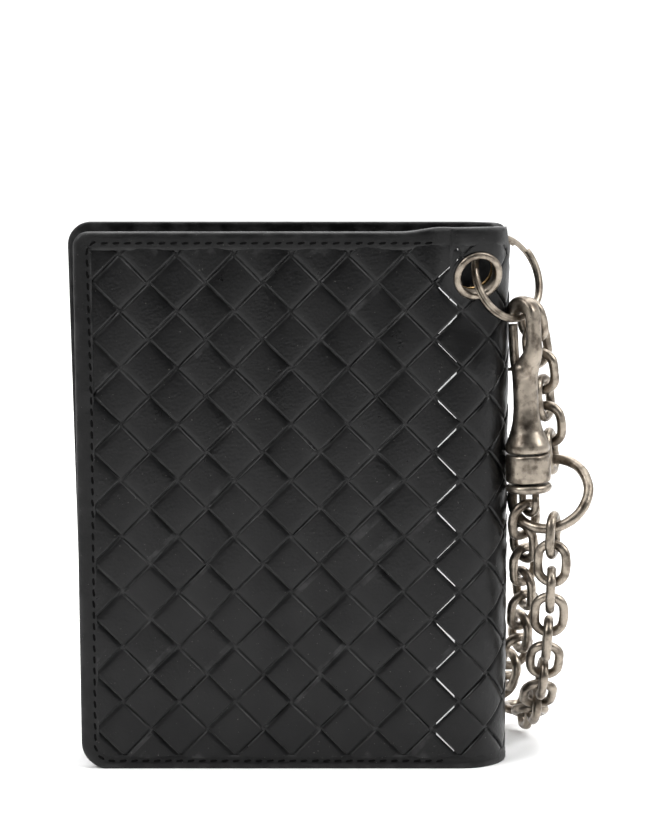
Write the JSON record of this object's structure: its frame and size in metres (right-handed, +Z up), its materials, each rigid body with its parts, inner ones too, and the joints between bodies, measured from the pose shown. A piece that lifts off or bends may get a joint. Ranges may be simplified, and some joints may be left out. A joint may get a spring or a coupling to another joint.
{
  "type": "chain wallet",
  "caption": "Folded woven leather wallet standing on its lower edge, with an eyelet, a split ring, a swivel snap hook, a large ring and a chain that hangs down and runs behind it",
  "frame": {"origin": "middle of the back cover's lower edge, on the surface that the wallet stands on", "axes": "+Z up, the front cover faces -Y, the spine is towards +X"},
  "size_m": [0.1166, 0.0887, 0.12],
  "materials": {
    "black_leather": "woven, satin",
    "lining_leather": "smooth, matt",
    "aged_silver": "aged white metal, rubbed bright on the high places",
    "dark_silver": "dark, dull",
    "aged_brass": "dull",
    "spring_steel": "plain"
  },
  "bodies": {
    "back_half": {"back_bill_wall": "lining_leather", "back_card_slot_1": "lining_leather", "back_card_slot_2": "lining_leather", "back_card_slot_3": "lining_leather", "back_card_slot_4": "lining_leather", "back_cover": "black_leather", "back_lining": "lining_leather"},
    "spine": {"spine_cover": "black_leather", "spine_lining": "lining_leather", "eyelet": "aged_silver", "eyelet_washer": "aged_brass"},
    "front_half": {"front_bill_wall": "lining_leather", "front_card_slot_1": "lining_leather", "front_card_slot_2": "lining_leather", "front_card_slot_3": "lining_leather", "front_card_slot_4": "lining_leather", "front_cover": "black_leather", "front_lining": "lining_leather"},
    "split_ring": {"split_ring": "aged_silver"},
    "hook": {"hook_body": "aged_silver", "gate_pin": "dark_silver", "gate_spring": "spring_steel", "swivel_pin": "dark_silver"},
    "hook_gate": {"hook_gate": "aged_silver"},
    "swivel": {"swivel_barrel": "aged_silver", "swivel_rim": "aged_silver", "swivel_eye": "aged_silver"},
    "adjuster_ring": {"adjuster_ring": "aged_silver"},
    "chain_run": {"chain_run": "aged_silver"},
    "hook_link_1": {"hook_link_1": "aged_silver"},
    "hook_link_10": {"hook_link_10": "aged_silver"},
    "hook_link_11": {"hook_link_11": "aged_silver"},
    "hook_link_12": {"hook_link_12": "aged_silver"},
    "hook_link_2": {"hook_link_2": "aged_silver"},
    "hook_link_3": {"hook_link_3": "aged_silver"},
    "hook_link_4": {"hook_link_4": "aged_silver"},
    "hook_link_5": {"hook_link_5": "aged_silver"},
    "hook_link_6": {"hook_link_6": "aged_silver"},
    "hook_link_7": {"hook_link_7": "aged_silver"},
    "hook_link_8": {"hook_link_8": "aged_silver"},
    "hook_link_9": {"hook_link_9": "aged_silver"},
    "ring_link_1": {"ring_link_1": "aged_silver"},
    "ring_link_10": {"ring_link_10": "aged_silver"},
    "ring_link_11": {"ring_link_11": "aged_silver"},
    "ring_link_12": {"ring_link_12": "aged_silver"},
    "ring_link_2": {"ring_link_2": "aged_silver"},
    "ring_link_3": {"ring_link_3": "aged_silver"},
    "ring_link_4": {"ring_link_4": "aged_silver"},
    "ring_link_5": {"ring_link_5": "aged_silver"},
    "ring_link_6": {"ring_link_6": "aged_silver"},
    "ring_link_7": {"ring_link_7": "aged_silver"},
    "ring_link_8": {"ring_link_8": "aged_silver"},
    "ring_link_9": {"ring_link_9": "aged_silver"},
    "upper_link_1": {"upper_link_1": "aged_silver"},
    "upper_link_2": {"upper_link_2": "aged_silver"},
    "upper_link_3": {"upper_link_3": "aged_silver"},
    "upper_link_4": {"upper_link_4": "aged_silver"},
    "upper_link_5": {"upper_link_5": "aged_silver"},
    "upper_link_6": {"upper_link_6": "aged_silver"}
  },
  "joints": [
    {"name": "spine_fold", "type": "hinge", "parent": "back_half", "child": "spine", "pos_m": [0.0335, 0.001, 0], "axis": [0, 0, 1], "range_deg": [0, 90]},
    {"name": "front_fold", "type": "hinge", "parent": "spine", "child": "front_half", "pos_m": [0.0335, -0.019, 0], "axis": [0, 0, 1], "range_deg": [0, 90]},
    {"name": "ring_swing", "type": "hinge", "parent": "spine", "child": "split_ring", "pos_m": [0.0468, -0.0125, 0.1087], "axis": [0.6262, -0.7093, 0.3237], "range_deg": [0, 8]},
    {"name": "hook_swing", "type": "hinge", "parent": "split_ring", "child": "hook", "pos_m": [0.05018, -0.01429, 0.10001], "axis": [0, -1, 0], "range_deg": [0, 6]},
    {"name": "gate_swing", "type": "hinge", "parent": "hook", "child": "hook_gate", "pos_m": [0.04886, -0.01243, 0.08874], "axis": [0.7137, 0.6997, 0.0322], "range_deg": [0, 18], "stiffness_Nm_per_rad": 0.02, "springref_deg": -5.73},
    {"name": "swivel_turn", "type": "hinge", "parent": "hook", "child": "swivel", "pos_m": [0.05192, -0.01429, 0.06145], "axis": [-0.045, 0, 0.999], "range_deg": [0, 1]},
    {"name": "upper_link_1_swing", "type": "hinge", "parent": "split_ring", "child": "upper_link_1", "pos_m": [0.0515, -0.01133, 0.10339], "axis": [0, -1, 0], "range_deg": [0, 6]},
    {"name": "upper_link_2_swing", "type": "hinge", "parent": "upper_link_1", "child": "upper_link_2", "pos_m": [0.0529, -0.00957, 0.0977], "axis": [0, -1, 0], "range_deg": [0, 4]},
    {"name": "upper_link_3_swing", "type": "hinge", "parent": "upper_link_2", "child": "upper_link_3", "pos_m": [0.05413, -0.00822, 0.09183], "axis": [0, -1, 0], "range_deg": [-4, 0]},
    {"name": "upper_link_4_swing", "type": "hinge", "parent": "upper_link_3", "child": "upper_link_4", "pos_m": [0.05498, -0.00763, 0.08581], "axis": [0, -1, 0], "range_deg": [-4, 0]},
    {"name": "upper_link_5_swing", "type": "hinge", "parent": "upper_link_4", "child": "upper_link_5", "pos_m": [0.0558, -0.00713, 0.07979], "axis": [0, -1, 0], "range_deg": [0, 4]},
    {"name": "upper_link_6_swing", "type": "hinge", "parent": "upper_link_5", "child": "upper_link_6", "pos_m": [0.05668, -0.00671, 0.07369], "axis": [0, -1, 0], "range_deg": [0, 0.3]},
    {"name": "adjuster_ring_swing", "type": "hinge", "parent": "upper_link_6", "child": "adjuster_ring", "pos_m": [0.0575, -0.0065, 0.0676], "axis": [0, -1, 0], "range_deg": [0, 0.3]},
    {"name": "ring_link_1_swing", "type": "hinge", "parent": "adjuster_ring", "child": "ring_link_1", "pos_m": [0.05725, -0.01707, 0.05664], "axis": [0, -1, 0], "range_deg": [0, 5]},
    {"name": "ring_link_2_swing", "type": "hinge", "parent": "ring_link_1", "child": "ring_link_2", "pos_m": [0.05703, -0.0178, 0.05044], "axis": [0, -1, 0], "range_deg": [0, 5]},
    {"name": "ring_link_3_swing", "type": "hinge", "parent": "ring_link_2", "child": "ring_link_3", "pos_m": [0.05685, -0.01761, 0.04435], "axis": [0, -1, 0], "range_deg": [0, 5]},
    {"name": "ring_link_4_swing", "type": "hinge", "parent": "ring_link_3", "child": "ring_link_4", "pos_m": [0.05669, -0.01713, 0.03844], "axis": [0, -1, 0], "range_deg": [0, 5]},
    {"name": "ring_link_5_swing", "type": "hinge", "parent": "ring_link_4", "child": "ring_link_5", "pos_m": [0.05649, -0.01582, 0.03247], "axis": [0, -1, 0], "range_deg": [0, 5]},
    {"name": "ring_link_6_swing", "type": "hinge", "parent": "ring_link_5", "child": "ring_link_6", "pos_m": [0.05625, -0.01375, 0.0267], "axis": [0, -1, 0], "range_deg": [0, 5]},
    {"name": "ring_link_7_swing", "type": "hinge", "parent": "ring_link_6", "child": "ring_link_7", "pos_m": [0.05596, -0.01095, 0.02147], "axis": [0, -1, 0], "range_deg": [0, 5]},
    {"name": "ring_link_8_swing", "type": "hinge", "parent": "ring_link_7", "child": "ring_link_8", "pos_m": [0.05558, -0.00726, 0.01638], "axis": [0, 0, 1], "range_deg": [0, 1.5]},
    {"name": "ring_link_9_swing", "type": "hinge", "parent": "ring_link_8", "child": "ring_link_9", "pos_m": [0.05515, -0.00323, 0.01207], "axis": [0, 0, 1], "range_deg": [0, 1.5]},
    {"name": "ring_link_10_swing", "type": "hinge", "parent": "ring_link_9", "child": "ring_link_10", "pos_m": [0.05461, 0.00176, 0.00864], "axis": [0, 0, 1], "range_deg": [0, 1.5]},
    {"name": "ring_link_11_swing", "type": "hinge", "parent": "ring_link_10", "child": "ring_link_11", "pos_m": [0.05403, 0.00743, 0.00614], "axis": [0, 0, 1], "range_deg": [0, 1.5]},
    {"name": "ring_link_12_swing", "type": "hinge", "parent": "ring_link_11", "child": "ring_link_12", "pos_m": [0.05315, 0.01336, 0.00506], "axis": [0, 0, 1], "range_deg": [0, 1.5]},
    {"name": "hook_link_1_swing", "type": "hinge", "parent": "swivel", "child": "hook_link_1", "pos_m": [0.05092, -0.015, 0.05875], "axis": [1, 0, 0], "range_deg": [0, 5]},
    {"name": "hook_link_2_swing", "type": "hinge", "parent": "hook_link_1", "child": "hook_link_2", "pos_m": [0.05094, -0.01137, 0.05373], "axis": [1, 0, 0], "range_deg": [0, 5]},
    {"name": "hook_link_3_swing", "type": "hinge", "parent": "hook_link_2", "child": "hook_link_3", "pos_m": [0.05124, -0.00947, 0.048], "axis": [1, 0, 0], "range_deg": [0, 5]},
    {"name": "hook_link_4_swing", "type": "hinge", "parent": "hook_link_3", "child": "hook_link_4", "pos_m": [0.05156, -0.0074, 0.04214], "axis": [1, 0, 0], "range_deg": [0, 5]},
    {"name": "hook_link_5_swing", "type": "hinge", "parent": "hook_link_4", "child": "hook_link_5", "pos_m": [0.05177, -0.00527, 0.03659], "axis": [1, 0, 0], "range_deg": [0, 5]},
    {"name": "hook_link_6_swing", "type": "hinge", "parent": "hook_link_5", "child": "hook_link_6", "pos_m": [0.05168, -0.00272, 0.03098], "axis": [1, 0, 0], "range_deg": [0, 5]},
    {"name": "hook_link_7_swing", "type": "hinge", "parent": "hook_link_6", "child": "hook_link_7", "pos_m": [0.05117, -0.00005, 0.02559], "axis": [1, 0, 0], "range_deg": [0, 5]},
    {"name": "hook_link_8_swing", "type": "hinge", "parent": "hook_link_7", "child": "hook_link_8", "pos_m": [0.05004, 0.00256, 0.02045], "axis": [0, 0, -1], "range_deg": [0, 3]},
    {"name": "hook_link_9_swing", "type": "hinge", "parent": "hook_link_8", "child": "hook_link_9", "pos_m": [0.04863, 0.00566, 0.01529], "axis": [0, 0, -1], "range_deg": [0, 3]},
    {"name": "hook_link_10_swing", "type": "hinge", "parent": "hook_link_9", "child": "hook_link_10", "pos_m": [0.04701, 0.00921, 0.01054], "axis": [0, 0, -1], "range_deg": [0, 3]},
    {"name": "hook_link_11_swing", "type": "hinge", "parent": "hook_link_10", "child": "hook_link_11", "pos_m": [0.04534, 0.01398, 0.00728], "axis": [0, 0, -1], "range_deg": [0, 3]},
    {"name": "hook_link_12_swing", "type": "hinge", "parent": "hook_link_11", "child": "hook_link_12", "pos_m": [0.04368, 0.01973, 0.00534], "axis": [0, 0, -1], "range_deg": [0, 3]},
    {"name": "run_slide", "type": "slide", "parent": "back_half", "child": "chain_run", "axis": [0, 1, 0], "range_m": [0, 0.05]}
  ],
  "couplings": [
    {"joint": "upper_link_3_swing", "follows": "upper_link_2_swing", "ratio": -1},
    {"joint": "upper_link_4_swing", "follows": "upper_link_2_swing", "ratio": -1},
    {"joint": "upper_link_5_swing", "follows": "upper_link_2_swing", "ratio": 1},
    {"joint": "front_fold", "follows": "spine_fold", "ratio": 1},
    {"joint": "upper_link_1_swing", "follows": "hook_swing", "ratio": 1}
  ]
}
